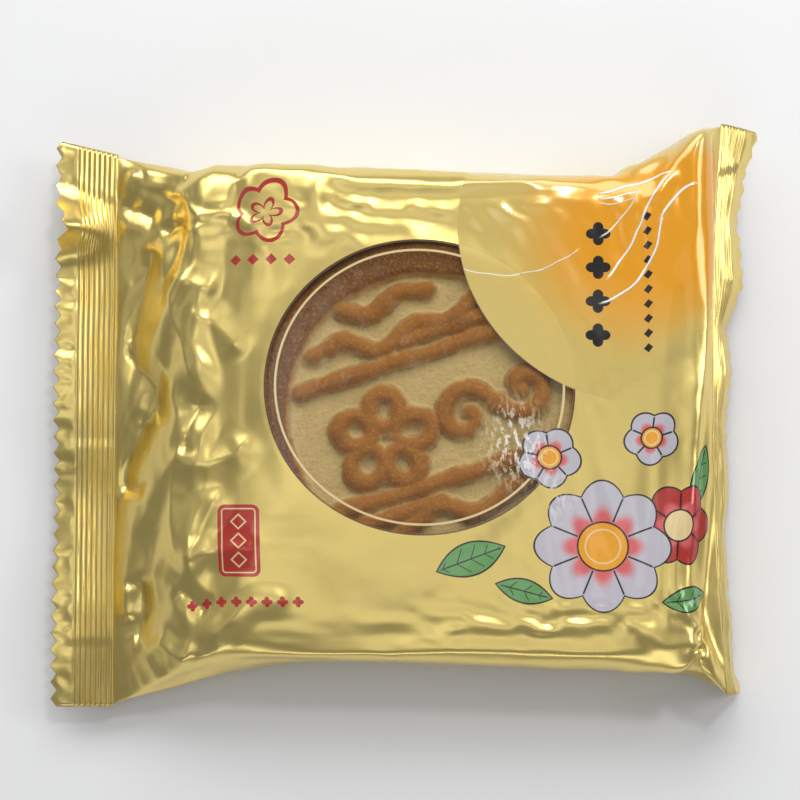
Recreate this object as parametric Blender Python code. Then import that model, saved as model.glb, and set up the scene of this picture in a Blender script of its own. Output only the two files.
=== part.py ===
"""A mooncake sealed in a gold foil flow pack that has a round clear window.

The pack lies flat with its window up. +Z is up, +X runs from the flat end seal to the bent one,
and the origin is on the table, at the middle of the whole pack. Units are metres.
"""

import math

import bmesh
import bpy
from mathutils import Matrix, Vector

MM = 0.001
WELD = 0.01 * MM  # points nearer than this are one point

# The film tube and its two end seals
FILM_WIDTH = 115.8 * MM  # width of the flattened tube, and the length of the bent seal
LEFT_GATHER = 0.97  # the flat seal is puckered to this share of the film's width
FILM = 0.7 * MM  # thickness given to the double film of a seal and to the lip round the window
CRIMP_PITCH = 2.1 * MM
CRIMPS = 4
CRIMP_BAND = CRIMPS * CRIMP_PITCH
SEAL_MARGIN = 3.2 * MM  # plain strip outside the crimps
CRIMP_DEPTH = 0.3 * MM
TEETH = 34
TOOTH_DEPTH = 1.2 * MM

# Faces that meet at less than the first angle are merged, and edges over the others are shaded sharp.
FLAT_ANGLE = math.radians(0.2)
CREASE_ANGLE = math.radians(32)
CRUST_ANGLE = math.radians(50)

# The filled body between the seals
LEFT_ROOT = -58.2 * MM
RIGHT_ROOT = 63.0 * MM
BODY_HEIGHT = 22.0 * MM
BODY_HALF_WIDTH = 49.3 * MM
SIDE_ROUND = 7.5 * MM
SIDE_BUNCHING = 0.25  # how much closer the lines along the film lie at its rounded sides
LEFT_SLOPE = 19.0 * MM  # how far the top takes to rise from the flat seal
RIGHT_SLOPE = 6.0 * MM  # the same at the bent seal
RIGHT_STEP = 0.5  # share of that rise which the end wall takes at once
LEFT_BELLY = 15.0 * MM  # how far the underside takes to come down to the table
RIGHT_BELLY = 13.0 * MM

# How far the tube takes to narrow from a seal to the body, on its -Y side and its +Y side
LEFT_NARROWING = (29.0 * MM, 17.0 * MM)
RIGHT_NARROWING = (14.0 * MM, 24.0 * MM)
LEFT_NARROWING_START = 0.12  # share of it already behind at the root of the flat seal
# Stretches along the body, and how many lines each has: the slope, the level top, and the ears
BODY_ZONES = ((LEFT_ROOT, -34 * MM, 12), (-34 * MM, 38 * MM, 5), (38 * MM, RIGHT_ROOT, 13))

# Where the seals and the body lie across the pack
LEFT_SEAL_HEIGHT = 6.5 * MM
RIGHT_SEAL_HEIGHT = 14.0 * MM
LEFT_SEAL_SHIFT = -1.8 * MM
RIGHT_SEAL_SHIFT = 1.5 * MM
BODY_SHIFT = -0.7 * MM
RIGHT_SEAL_TILT = math.radians(68)  # below level, along most of the seal
EAR_TILT = math.radians(66)  # at the raised ear of the bent seal
EAR_START = 0.45  # share of the half width where the ear's tilt sets in
EAR_REACH = 2.5 * MM  # how far the ears stand out past the middle of the bent seal
EAR_FALLOFF = 3
SEAL_WAVE = 0.7 * MM  # height of the flat seal's waves at its outer edge
SEAL_TWIST = 0.12  # radians that the bent seal's tilt swings to each side
SEAL_WAVES = 2.6

# The back seam, a fin folded flat against the underside
FIN_CENTRE = -2.0 * MM
FIN_HALF_WIDTH = 6.5 * MM
FIN_THICKNESS = 0.4 * MM

# Folds pressed into the top film: start, end, depth and half width, in millimetres
FOLD_START = 0.4  # how much of a fold there is where the film leaves the seal
FOLDS = (
    ((-57.8, 15.6), (-50.0, 31.0), 3.2, 2.6),
    ((-57.0, -6.0), (-47.0, -24.0), 3.0, 2.8),
    ((-54.0, 6.0), (-41.0, 1.0), 3.4, 3.0),
    ((-55.5, 45.0), (-46.0, 38.5), 2.6, 2.4),
    ((-54.0, -38.0), (-40.0, -42.0), 3.0, 2.8),
    ((-48.0, -31.0), (-41.0, -26.0), 1.8, 2.6),
    ((57.5, 12.0), (63.0, 8.0), 1.6, 2.6),
    ((52.0, 43.0), (61.0, 35.0), 1.4, 2.4),
    ((54.0, -43.0), (61.0, -36.0), 1.8, 2.4),
)

# The round window, and the pocket that the cake fills
WINDOW_CENTRE = Vector((3.4, 4.0, 0)) * MM
WINDOW_RADIUS = 30.8 * MM
PANE_THICKNESS = 0.5 * MM
CLEARANCE = 0.3 * MM

# The mooncake
CAKE_CENTRE = Vector((5.5, 0, 0)) * MM
CAKE_RADIUS = 36 * MM
CAKE_BASE = 1.2 * MM
CAKE_TOP = 20.7 * MM  # top of the rim and of the ridges
FIELD_RADIUS = 28 * MM  # the sunk field inside the rim
FIELD_DEPTH = 1.9 * MM
LIP_SHARE = 0.3  # size of the chamfers between rim and field, as a share of its depth
EDGE_ROUND = 3.0 * MM
CAKE_SIDES = 56
RIDGE_WIDTH = 3.4 * MM

# The ridges in the field, as the crest lines that they follow, in millimetres from the cake's middle
WAVES = (
    ((-23.0, 11.0), (-17.0, 14.6), (-9.4, 12.0), (-3.0, 18.0), (4.4, 17.8), (9.5, 23.5)),
    ((-17.5, 20.5), (-11.5, 19.0), (-5.6, 24.4), (-0.5, 24.6)),
    ((-6.5, -25.5), (2.0, -17.6), (9.4, -20.4), (18.0, -13.6), (24.0, -11.0)),
)
BARS = (
    ((-25.4, 4.0), (20.0, 18.6)),
    ((-5.0, 14.2), (17.0, 21.6)),
    ((-18.0, -20.0), (23.5, -7.2)),
    ((-13.0, -22.4), (3.0, -17.4)),
)
CORNER_CUT = 0.3  # how far back along a wave its corners are cut
FLOWER_CENTRE = Vector((-8.5, -5.4))
PETALS = 5
PETAL_REACH = 9.6
PETAL_HALF_WIDTH = 3.1
PETAL_STEPS = 10
FLOWER_HEART = 2.4
FLOWER_TURN = 0.35
SCROLLS = (((7.5, -0.6), 6.4, 0.4), ((19.2, 5.2), 5.6, 3.6))  # middle, outer radius, start angle
SCROLL_TURNS = 1.02
SCROLL_STEPS = 12
SCROLL_EYE = 0.22  # where the spiral ends, as a share of its radius


def ease(value):
    """0 below 0, 1 above 1, and a smooth S between."""
    value = min(max(value, 0.0), 1.0)
    return value * value * (3 - 2 * value)


def blend(start, end, share):
    return start + (end - start) * share


def material(name, colour, roughness, metallic=0.0, alpha=1.0):
    made = bpy.data.materials.new(name)
    made.use_nodes = True
    shader = made.node_tree.nodes["Principled BSDF"]
    shader.inputs["Base Color"].default_value = (*colour, 1.0)
    shader.inputs["Roughness"].default_value = roughness
    shader.inputs["Metallic"].default_value = metallic
    shader.inputs["Alpha"].default_value = alpha
    return made


def add_object(name, bm, finish):
    mesh = bpy.data.meshes.new(name)
    bm.to_mesh(mesh)
    bm.free()
    mesh.materials.append(finish)
    made = bpy.data.objects.new(name, mesh)
    bpy.context.scene.collection.objects.link(made)
    return made


def combine(target, others, operation):
    """Joins the other objects to the target, or cuts them out of it, and removes them."""
    group = bpy.data.collections.new(target.name + " tools")
    for other in others:
        group.objects.link(other)
    modifier = target.modifiers.new(operation, "BOOLEAN")
    modifier.operation = operation
    modifier.operand_type = "COLLECTION"
    modifier.collection = group
    view = target.evaluated_get(bpy.context.evaluated_depsgraph_get())
    result = bpy.data.meshes.new_from_object(view)
    target.modifiers.clear()
    target.data = result
    for other in others:
        bpy.data.objects.remove(other)
    bpy.data.collections.remove(group)


def smooth_shading(thing, sharp_angle):
    thing.data.shade_smooth()
    thing.data.set_sharp_from_angle(angle=sharp_angle)


# ---------------------------------------------------------------- the foil wrapper


def stations():
    """Lines across the pack, from the flat seal to the bent one, as (kind, where, crimp). A body line
    is at x = where. A seal line lies where metres out from its seal's root, and crimp is 1 on a crest
    of the crimps, -1 in a trough and 0 on the plain film."""
    steps = 2 * CRIMPS
    seal = [(index * CRIMP_PITCH / 2, (-1) ** index) for index in range(1, steps)]
    seal += [(CRIMP_BAND, 0), (CRIMP_BAND + SEAL_MARGIN, 0)]
    left = [("left", out, crimp) for out, crimp in reversed(seal)]
    right = [("right", out, crimp) for out, crimp in seal]
    body = []
    for start, end, count in BODY_ZONES:
        body += [("body", blend(start, end, index / count), 0) for index in range(count)]
    body.append(("body", RIGHT_ROOT, 0))
    return left + body + right


def fold_depth(x, y):
    """How far the folds press the top film down at this place."""
    depth = 0.0
    here = Vector((x, y)) / MM
    for start, end, fold, half_width in FOLDS:
        start, end = Vector(start), Vector(end)
        along = end - start
        share = min(max((here - start).dot(along) / along.length_squared, 0), 1)
        away = (here - start - along * share).length
        depth += fold * math.exp(-((away / half_width) ** 2))
    return depth * MM


def narrowing(from_left, from_right, across):
    """How far the tube has narrowed, from 0 to 1, where across is -1 and 1 at the film's sides."""
    left = from_left / blend(*LEFT_NARROWING, (1 + across) / 2)
    right = from_right / blend(*RIGHT_NARROWING, (1 + across) / 2)
    return ease(LEFT_NARROWING_START + left) * ease(right)


def body_point(x, v, side):
    """A point of the filled body: v runs across the flat film, and side is 1 on top and -1 below."""
    from_left, from_right = x - LEFT_ROOT, RIGHT_ROOT - x
    rise = 0.0
    if from_right > 0:
        rise = ease(from_left / LEFT_SLOPE) * ease(blend(RIGHT_STEP, 1, from_right / RIGHT_SLOPE))
    drop = ease(from_left / LEFT_BELLY) * ease(from_right / RIGHT_BELLY)
    across = v / (FILM_WIDTH / 2)
    narrow = narrowing(from_left, from_right, across)
    share = from_left / (RIGHT_ROOT - LEFT_ROOT)
    seal_height = blend(LEFT_SEAL_HEIGHT, RIGHT_SEAL_HEIGHT, share)
    top = blend(seal_height + FILM / 2, BODY_HEIGHT, rise)
    bottom = blend(seal_height - FILM / 2, FIN_THICKNESS, drop)
    half_width = blend(FILM_WIDTH / 2 * blend(LEFT_GATHER, 1, share), BODY_HALF_WIDTH, narrow)
    seal_shift = blend(LEFT_SEAL_SHIFT, RIGHT_SEAL_SHIFT, share)
    shift = blend(seal_shift, BODY_SHIFT, narrow)
    filled = min(rise, drop)
    corner = blend(FILM, SIDE_ROUND, filled)
    flat = half_width - corner
    bunched = 1 + SIDE_BUNCHING * filled * (1 - across * across)
    run = abs(across) * bunched * (flat + corner * math.pi / 2)
    y, edge = run, 1.0
    if run > flat:
        turn = min((run - flat) / corner, math.pi / 2)
        y = flat + corner * math.sin(turn)
        edge = math.cos(turn)
    y = math.copysign(y, v) + shift
    middle = (top + bottom) / 2
    thick = max((top - bottom) / 2 * edge, FILM / 2)
    z = middle + side * thick
    if side > 0:
        z = max(z - fold_depth(x, y) * edge * ease(blend(FOLD_START, 1, 2 * rise)), middle + FILM / 2)
    elif abs(v - FIN_CENTRE) < FIN_HALF_WIDTH and drop == 1:
        z = 0.0
    return Vector((x, y, z))


def seal_point(end, out, crimp, v, side):
    """A point of an end seal, out metres from its root."""
    across = v / (FILM_WIDTH / 2)
    wave = math.sin(SEAL_WAVES * math.pi * across)
    height = crimp * CRIMP_DEPTH + side * FILM / 2
    if end == "left":
        height += SEAL_WAVE * wave * out / (CRIMP_BAND + SEAL_MARGIN)
        return Vector((LEFT_ROOT - out, v * LEFT_GATHER + LEFT_SEAL_SHIFT, LEFT_SEAL_HEIGHT + height))
    near_ear = ease((across - EAR_START) / (1 - EAR_START))
    tilt = blend(RIGHT_SEAL_TILT, EAR_TILT, near_ear) - SEAL_TWIST * wave
    forward = Vector((math.cos(tilt), 0, -math.sin(tilt)))
    normal = Vector((math.sin(tilt), 0, math.cos(tilt)))
    start = Vector((RIGHT_ROOT, v + RIGHT_SEAL_SHIFT, RIGHT_SEAL_HEIGHT))
    return start + forward * out + normal * height


def film_point(kind, where, crimp, v, side):
    """A point of the whole film. Its right end is drawn out into an ear at each corner."""
    if kind == "body":
        point = body_point(where, v, side)
    else:
        point = seal_point(kind, where, crimp, v, side)
    zone_start, zone_end, _ = BODY_ZONES[-1]
    ear = abs(v / (FILM_WIDTH / 2)) ** EAR_FALLOFF
    point.x += EAR_REACH * ear * ease((point.x - zone_start) / (zone_end - zone_start))
    return point


def foil_sheets():
    """The film as a thin closed mesh, from the teeth of one seal to the teeth of the other."""
    lines = stations()
    bm = bmesh.new()
    bmesh.ops.create_grid(bm, x_segments=len(lines) - 1, y_segments=TEETH, size=0.5)
    for vert in bm.verts:
        vert.co.x = round((vert.co.x + 0.5) * (len(lines) - 1))
        vert.co.y = (vert.co.y * FILM_WIDTH) / MM
        vert.co.z = -1
    raised = bmesh.ops.extrude_face_region(bm, geom=bm.faces[:], use_keep_orig=True)["geom"]
    for item in raised:
        if isinstance(item, bmesh.types.BMVert):
            item.co.z = 1

    # One more point on each end edge becomes the tip of a tooth.
    ends = (0, len(lines) - 1)
    edges = [
        edge
        for edge in bm.edges
        if edge.verts[0].co.x == edge.verts[1].co.x and edge.verts[0].co.x in ends
        and edge.verts[0].co.z == edge.verts[1].co.z
    ]
    made = bmesh.ops.subdivide_edges(bm, edges=edges, cuts=1)["geom_inner"]
    tips = {item for item in made if isinstance(item, bmesh.types.BMVert)}

    for vert in bm.verts:
        kind, where, crimp = lines[round(vert.co.x)]
        if vert in tips:
            where += TOOTH_DEPTH
        vert.co = film_point(kind, where, crimp, vert.co.y * MM, vert.co.z)
    bmesh.ops.recalc_face_normals(bm, faces=bm.faces)
    bmesh.ops.dissolve_limit(bm, angle_limit=FLAT_ANGLE, verts=bm.verts, edges=bm.edges)
    bmesh.ops.triangulate(bm, faces=bm.faces)
    return bm


def foil_wrapper():
    gold = material("gold foil", (0.62, 0.47, 0.14), 0.28, metallic=1.0)
    wrapper = add_object("gold_wrapper", foil_sheets(), gold)
    pocket_floor = CAKE_BASE - CLEARANCE
    pocket_top = BODY_HEIGHT - FILM
    pocket = round_bar("pocket", CAKE_CENTRE, CAKE_RADIUS + CLEARANCE, pocket_floor, pocket_top, gold)
    above = BODY_HEIGHT + FILM
    opening = round_bar("opening", WINDOW_CENTRE, WINDOW_RADIUS, BODY_HEIGHT / 2, above, gold)
    combine(wrapper, [pocket, opening], "DIFFERENCE")
    smooth_shading(wrapper, CREASE_ANGLE)
    return wrapper


def round_bar(name, centre, radius, bottom, top, finish):
    bm = bmesh.new()
    place = Matrix.Translation(centre + Vector((0, 0, (bottom + top) / 2)))
    bmesh.ops.create_cone(
        bm, cap_ends=True, segments=CAKE_SIDES,
        radius1=radius, radius2=radius, depth=top - bottom, matrix=place,
    )
    return add_object(name, bm, finish)


def window_pane():
    clear = material("clear film", (0.95, 0.93, 0.88), 0.06, alpha=0.3)
    bottom = BODY_HEIGHT - FILM + CLEARANCE / 2
    pane = round_bar(
        "clear_window", WINDOW_CENTRE, WINDOW_RADIUS - CLEARANCE, bottom, bottom + PANE_THICKNESS, clear
    )
    smooth_shading(pane, CREASE_ANGLE)
    return pane


# ---------------------------------------------------------------- the mooncake


def cake_profile():
    """The cake's half section, from the middle of its base out and up to the middle of its field."""
    field = CAKE_TOP - FIELD_DEPTH
    side = CAKE_RADIUS - EDGE_ROUND
    low = CAKE_BASE + EDGE_ROUND
    high = CAKE_TOP - EDGE_ROUND
    points = [(0, CAKE_BASE), (side, CAKE_BASE)]
    for turn in (0.35, 0.8, 1.3):
        points.append((side + EDGE_ROUND * math.sin(turn), low - EDGE_ROUND * math.cos(turn)))
    for turn in (0.15, 0.6, 1.05, 1.5):
        points.append((side + EDGE_ROUND * math.cos(turn), high + EDGE_ROUND * math.sin(turn)))
    lip = FIELD_DEPTH * LIP_SHARE
    points += [(FIELD_RADIUS + lip, CAKE_TOP), (FIELD_RADIUS, CAKE_TOP - lip)]
    points += [(FIELD_RADIUS - lip, field + lip / 2), (FIELD_RADIUS - FIELD_DEPTH, field), (0, field)]
    return points


def ridge(name, crest, closed=False):
    """A rounded ridge along a crest line in the field, as a round bar sunk into it."""
    curve = bpy.data.curves.new(name, "CURVE")
    curve.dimensions = "3D"
    curve.bevel_depth = RIDGE_WIDTH / 2
    curve.bevel_resolution = 1
    curve.use_fill_caps = True
    spline = curve.splines.new("POLY")
    spline.points.add(len(crest) - 1)
    height = CAKE_TOP - RIDGE_WIDTH / 2
    for point, (x, y) in zip(spline.points, crest):
        point.co = (CAKE_CENTRE.x + x * MM, CAKE_CENTRE.y + y * MM, height, 1)
    spline.use_cyclic_u = closed
    made = bpy.data.objects.new(name, curve)
    bpy.context.scene.collection.objects.link(made)
    view = made.evaluated_get(bpy.context.evaluated_depsgraph_get())
    solid = bpy.data.objects.new(name, bpy.data.meshes.new_from_object(view))
    bpy.context.scene.collection.objects.link(solid)
    bpy.data.objects.remove(made)
    bm = bmesh.new()
    bm.from_mesh(solid.data)
    bmesh.ops.remove_doubles(bm, verts=bm.verts, dist=WELD)
    bmesh.ops.recalc_face_normals(bm, faces=bm.faces)
    bm.to_mesh(solid.data)
    bm.free()
    return solid


def softened(points):
    """The corner points of a wave with each inner corner cut into two."""
    corners = [Vector(point) for point in points]
    line = [corners[0]]
    for before, corner, after in zip(corners, corners[1:], corners[2:]):
        line += [corner.lerp(before, CORNER_CUT), corner.lerp(after, CORNER_CUT)]
    return line + [corners[-1]]


def petal(index):
    """The loop of one petal, from the flower's heart out and back."""
    angle = FLOWER_TURN + index * math.tau / PETALS
    out = Vector((math.cos(angle), math.sin(angle)))
    across = Vector((-out.y, out.x))
    loop = []
    for step in range(PETAL_STEPS):
        turn = math.tau * step / PETAL_STEPS
        along = FLOWER_HEART + (PETAL_REACH - FLOWER_HEART) * (0.5 - 0.5 * math.cos(turn))
        loop.append(FLOWER_CENTRE + out * along + across * PETAL_HALF_WIDTH * math.sin(turn))
    return loop


def scroll(middle, radius, start):
    """A spiral that winds inwards."""
    line = []
    for step in range(SCROLL_STEPS + 1):
        share = step / SCROLL_STEPS
        angle = start + SCROLL_TURNS * math.tau * share
        out = radius * blend(1, SCROLL_EYE, share)
        line.append((middle[0] + out * math.cos(angle), middle[1] + out * math.sin(angle)))
    return line


def mooncake():
    crust = material("baked crust", (0.42, 0.17, 0.05), 0.6)
    bm = bmesh.new()
    line = [bm.verts.new((radius, 0, height)) for radius, height in cake_profile()]
    edges = [bm.edges.new(pair) for pair in zip(line, line[1:])]
    bmesh.ops.spin(
        bm, geom=line + edges, cent=(0, 0, 0), axis=(0, 0, 1), angle=math.tau,
        steps=CAKE_SIDES, use_merge=True,
    )
    bmesh.ops.remove_doubles(bm, verts=bm.verts, dist=WELD)
    bmesh.ops.translate(bm, verts=bm.verts, vec=CAKE_CENTRE)
    bmesh.ops.recalc_face_normals(bm, faces=bm.faces)
    cake = add_object("mooncake", bm, crust)

    ridges = [ridge("wave", softened(points)) for points in WAVES]
    ridges += [ridge("bar", points) for points in BARS]
    ridges += [ridge("petal", petal(index), closed=True) for index in range(PETALS)]
    ridges += [ridge("scroll", scroll(*values)) for values in SCROLLS]
    combine(cake, ridges, "UNION")
    smooth_shading(cake, CRUST_ANGLE)
    return cake


def stand_on_origin(things):
    """Moves all the pieces together, so that the origin is under the middle of the pack."""
    points = [vert.co for thing in things for vert in thing.data.vertices]
    low = Vector([min(point[axis] for point in points) for axis in range(3)])
    high = Vector([max(point[axis] for point in points) for axis in range(3)])
    shift = Vector((-(low.x + high.x) / 2, -(low.y + high.y) / 2, -low.z))
    for thing in things:
        thing.data.transform(Matrix.Translation(shift))


def main():
    for thing in list(bpy.data.objects):
        bpy.data.objects.remove(thing)
    stand_on_origin([foil_wrapper(), window_pane(), mooncake()])


main()
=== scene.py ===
"""Looks of a mooncake sealed in a gold foil flow pack, built round the pack's solids.

The file is laid out as an add-on and is run as a script. Units are metres unless a name says otherwise.
"""

import math

import bmesh
import bpy
import numpy as np
from bpy.props import FloatProperty, FloatVectorProperty, IntProperty, PointerProperty
from mathutils import Matrix, Vector, noise


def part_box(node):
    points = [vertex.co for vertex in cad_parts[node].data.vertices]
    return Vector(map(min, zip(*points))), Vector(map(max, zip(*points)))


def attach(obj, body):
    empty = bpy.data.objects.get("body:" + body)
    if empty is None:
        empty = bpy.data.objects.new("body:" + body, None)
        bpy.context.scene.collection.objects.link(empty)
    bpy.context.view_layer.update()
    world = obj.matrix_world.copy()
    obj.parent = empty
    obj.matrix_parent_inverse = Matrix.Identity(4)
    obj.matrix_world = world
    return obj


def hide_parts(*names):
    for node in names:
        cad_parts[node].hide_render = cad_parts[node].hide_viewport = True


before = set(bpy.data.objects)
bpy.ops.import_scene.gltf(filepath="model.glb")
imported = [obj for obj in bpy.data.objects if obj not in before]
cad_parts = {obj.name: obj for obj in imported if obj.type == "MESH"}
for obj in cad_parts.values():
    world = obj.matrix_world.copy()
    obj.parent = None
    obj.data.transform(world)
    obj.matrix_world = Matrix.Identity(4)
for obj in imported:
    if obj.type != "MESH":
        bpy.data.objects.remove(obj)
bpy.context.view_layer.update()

bl_info = {
    "name": "Packed mooncake",
    "version": (1, 0, 0),
    "blender": (4, 5, 0),
    "location": "3D View > Sidebar > Mooncake",
    "description": "Gold foil pack with a clear window, and the baked cake inside it",
    "category": "Object",
}

MM = 0.001


def corners(node):
    low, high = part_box(node)
    return Vector(low), Vector(high)


# ---- places read from the solids

PACK_LOW, PACK_HIGH = corners("gold_wrapper")
WINDOW_LOW, WINDOW_HIGH = corners("clear_window")
CAKE_LOW, CAKE_HIGH = corners("mooncake")
CAKE_MIDDLE = (CAKE_LOW + CAKE_HIGH) / 2
WINDOW_MIDDLE = (WINDOW_LOW + WINDOW_HIGH) / 2
WINDOW_RADIUS = (WINDOW_HIGH.x - WINDOW_LOW.x) / 2 + 0.3 * MM
CAKE_RADIUS = 36 * MM
PACK_HEIGHT = PACK_HIGH.z

# The film tube and its seals, placed across the pack from the middle of the cake
SEAL_WIDTH = 12.8 * MM
CRIMP_BAND = 8.4 * MM
CRIMP_PITCH = 1.06 * MM
CRIMP_DEPTH = 0.24 * MM
TEETH = 34
TOOTH_DEPTH = 1.2 * MM
SEAL_THICKNESS = 0.24 * MM
BENT_SEAL_REACH = 9.15 * MM
LEFT_ROOT = PACK_LOW.x + SEAL_WIDTH
RIGHT_ROOT = PACK_HIGH.x - BENT_SEAL_REACH
ROOT_SPAN = RIGHT_ROOT - LEFT_ROOT
LEFT_SEAL_HEIGHT = 6.5 * MM
RIGHT_SEAL_HEIGHT = 14.0 * MM
LEFT_SHIFT = CAKE_MIDDLE.y - 2.3 * MM
RIGHT_SHIFT = CAKE_MIDDLE.y + 1.5 * MM
BODY_SHIFT = CAKE_MIDDLE.y - 0.7 * MM
LEFT_GATHER, RIGHT_GATHER = 0.977, 1.0  # length of each seal, as a share of the film that it gathers
LEFT_ROOT_WAVE, RIGHT_ROOT_WAVE = 0.5 * MM, 0.4 * MM
EAR_REACH, EAR_DROP = 2.5 * MM, 1.0 * MM
LEFT_KINK = (math.radians(40), 42, 4.5)  # how far the flat seal's corner is turned up, its place and spread in mm
LEFT_FLARE, FLARE_START, FLARE_SPREAD = 0.24, 40, 16
FLUTTER = 0.9 * MM
CRINKLE_HEIGHT = 0.20 * MM
SEAM_STEP, BACK_SEAM = 0.22 * MM, (-44.6, -2.7)
CORNER_STEP, TUCKED_CORNER, CORNER_LEAN = 0.38 * MM, 47.4, 0.28
SEAL_COLUMNS, ROWS_PER_TOOTH = 64, 4
BENT_SEAL_TILTS = (
    (-57, 70), (-53, 75), (-43, 72), (-33, 74), (-23, 72), (-13, 68), (-3, 70), (7.6, 63), (17.6, 68), (27, 49),
    (38.8, 60), (48, 56), (56.6, 47),
)  # degrees down from level, at places in mm along the bent seal

# How the flat film is shaped before it is blown up
FILM_TOP = PACK_HEIGHT
FILM_BOTTOM = 0.5 * MM
BODY_HALF_WIDTH = 50.3 * MM
SIDE_ROUND = 7.0 * MM
LEFT_SLOPE, RIGHT_SLOPE = 19.0 * MM, 5.0 * MM
LEFT_BELLY, RIGHT_BELLY = 15.0 * MM, 13.0 * MM
LEFT_NARROWING = (29.0 * MM, 17.0 * MM)  # on the -Y side and on the +Y side
RIGHT_NARROWING = (14.0 * MM, 24.0 * MM)

# Sharp creases in the film's top: how high (or, below 0, deep) each one is, how far it spreads to each side,
# and the points that it runs through, all in mm from the cake's middle
CREASES = (
    (1.7, 7.0, (-54.1, 38.5), (-53.4, 28.0), (-49.5, 15.0), (-45.6, 1.6)),
    (1.5, 6.5, (-45.6, 2.2), (-50.7, -10.2), (-51.5, -21.0), (-49.9, -32.4)),
    (-1.3, 3.5, (-44.5, 4.0), (-47.6, -3.0), (-48.8, -9.0)),
    (-1.9, 4.0, (-55.5, 34.5), (-57.1, 29.0), (-60.3, 16.6), (-64.0, 15.2)),
    (-1.5, 4.5, (-63.8, 15.6), (-59.5, 11.0), (-55.1, 5.4), (-53.8, -3.0)),
    (-1.1, 3.0, (-54.0, 36.4), (-50.5, 38.4), (-47.5, 39.0)),
    (0.9, 5.5, (-53.6, 27.6), (-48.0, 26.2), (-41.5, 24.0)),
    (0.9, 5.5, (-50.4, 21.2), (-43.0, 18.2), (-36.0, 11.0)),
    (-1.6, 4.0, (-64.0, -14.0), (-60.5, -7.0), (-56.5, 1.0)),
    (-1.5, 3.0, (-64.2, -13.2), (-60.5, -14.6), (-57.0, -15.6)),
    (0.9, 5.0, (-51.0, -10.8), (-43.5, -10.2), (-38.3, -8.4), (-34.8, -3.5)),
    (1.0, 4.5, (-50.2, -31.8), (-45.5, -25.0), (-41.0, -14.0)),
    (0.9, 4.5, (-50.4, -31.2), (-44.7, -27.8), (-32.5, -26.4)),
    (-1.2, 3.6, (-50.0, -34.0), (-45.5, -38.2), (-43.0, -39.4)),
    (1.5, 3.6, (-60.9, -33.6), (-61.2, -38.0), (-60.8, -42.0)),
    (-1.4, 3.0, (-58.0, -32.0), (-56.9, -39.0), (-58.8, -47.0)),
    (0.9, 4.0, (-44.2, -47.0), (-40.5, -42.4), (-33.5, -37.0), (-25.5, -37.0)),
    (1.3, 4.0, (-55.0, -44.2), (-51.0, -47.5), (-46.5, -49.6)),
    (1.3, 3.6, (-65.4, 43.8), (-62.0, 47.5), (-58.8, 51.0)),
    (-1.6, 3.6, (-65.0, 44.0), (-59.1, 42.4), (-54.0, 39.8)),
    (0.7, 4.0, (-22.7, 49.5), (-22.3, 40.0), (-19.0, 33.0)),
    (0.7, 4.0, (41.5, -41.0), (47.5, -46.0), (54.5, -45.0)),
    (1.0, 3.0, (-50.0, 48.6), (-23.5, 49.0), (-13.5, 46.2), (2.5, 45.6), (22.5, 46.6), (36.0, 46.0)),
    (0.9, 3.6, (-44.3, -47.0), (-25.5, -47.8), (4.5, -47.0), (34.5, -47.6), (50.0, -46.4)),
)
CREASE_FADE = 0.22  # share of a crease over which it dies out at each end
CREASE_BEND = 1.35  # 1 for flat facets on both sides of a crease, more for hollow ones
CRUMPLE_SIZES, CRUMPLE_LEFT, CRUMPLE_RIGHT = (10 * MM, 3.4 * MM), 0.6, 0.4
SWELL_SIZES = (19 * MM, 8 * MM)
CALM = 0.15  # share of the swells that is left over the window
TOP_SOFTNESS = 0.5 * MM  # how gently the film is kept under the pack's height
LEFT_SAG = 1.3 * MM  # how far the film's top sinks beyond the cake's left edge

# The blocks that hold the film up, and level, while it is simulated
BLOCK_TURN = math.radians(-2.0)  # the pack's body lies slightly turned between its seals
BLOCK_PIVOT = CAKE_MIDDLE + Vector((15 * MM, 0, 0))
BLOCKS = (  # name, x and height from and to, y from and to in mm from the body's middle, rounding and friction
    ("cushion", LEFT_ROOT + 24 * MM, RIGHT_ROOT - 2.6 * MM, 0.8 * MM, FILM_TOP - 1.2 * MM, -48.8, 48.8, 5.0, 2),
    ("shoulder", LEFT_ROOT + 13.5 * MM, LEFT_ROOT + 44 * MM, 0.8 * MM, FILM_TOP - 3.2 * MM, -48.8, 48.8, 6.0, 2),
    ("neck", RIGHT_ROOT - 16 * MM, RIGHT_ROOT - 10 * MM, 11 * MM, 18 * MM, 30, 53.2, 2.5, 1),
    ("ear", RIGHT_ROOT - 9 * MM, RIGHT_ROOT - 3 * MM, 12 * MM, 16 * MM, 30, 56.4, 1.5, 1),
    ("lid", LEFT_ROOT + 12 * MM, RIGHT_ROOT + 3 * MM, FILM_TOP + 0.6 * MM, FILM_TOP + 5 * MM, -53, 53, 2.0, 0.5),
)
CAKE_BLOCK_FRICTION, TABLE_FRICTION = 5, 20
BLOCK_SKIN = 0.4 * MM

# The simulation of the film
SIM_SCALE = 10.0
SIM_CELLS_ACROSS = 72
SIM_FRAMES = 40
CLOTH = {
    "quality": 8, "mass": 0.15, "tension_stiffness": 120, "compression_stiffness": 120, "shear_stiffness": 60,
    "bending_model": "ANGULAR", "bending_stiffness": 4.0, "tension_damping": 20, "compression_damping": 20,
    "shear_damping": 20, "bending_damping": 1.0, "air_damping": 3, "use_pressure": True, "pin_stiffness": 1,
}
CLOTH_TOUCH = {
    "distance_min": 0.003, "collision_quality": 3, "use_self_collision": True, "self_distance_min": 0.004,
}

# Cells of the finished film: along the creased end, along the rest, across the top and across the back
FINE_CELL, COARSE_CELL, TOP_CELL, BACK_CELL = 0.45 * MM, 0.85 * MM, 0.62 * MM, 1.9 * MM
CREASED_END = 34.0 * MM  # length of film, from the left root, that gets the fine cells

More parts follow.
